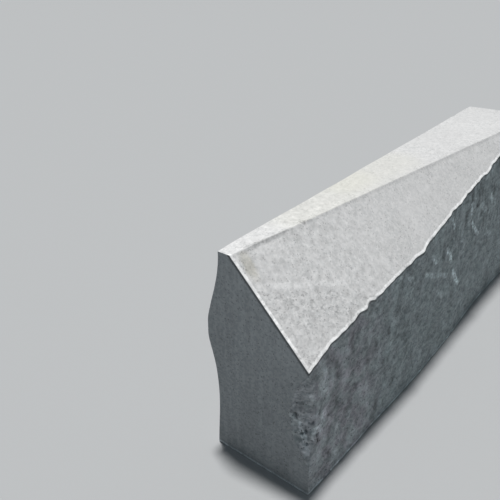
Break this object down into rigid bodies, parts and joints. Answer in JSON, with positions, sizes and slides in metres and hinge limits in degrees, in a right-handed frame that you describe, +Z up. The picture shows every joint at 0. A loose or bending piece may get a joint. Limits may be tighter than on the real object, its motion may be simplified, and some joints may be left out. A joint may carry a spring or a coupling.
{
  "type": "granite transition kerb stone",
  "caption": "Upright granite kerb stone with a flat top whose road-side splay grows from nothing at one end to nearly full width at the other.",
  "frame": {"origin": "middle of the bed, at half of the foot width and half of the length", "axes": "+X from the back to the road face, +Y along the kerb from the splayed end to the square end, +Z up from the bed"},
  "size_m": [0.1609, 0.75, 0.3],
  "materials": {
    "granite": "sawn and fine-tooled top, splay and ends, rough split back and road face"
  },
  "bodies": {
    "root": {"kerb_stone": "granite"}
  },
  "joints": []
}
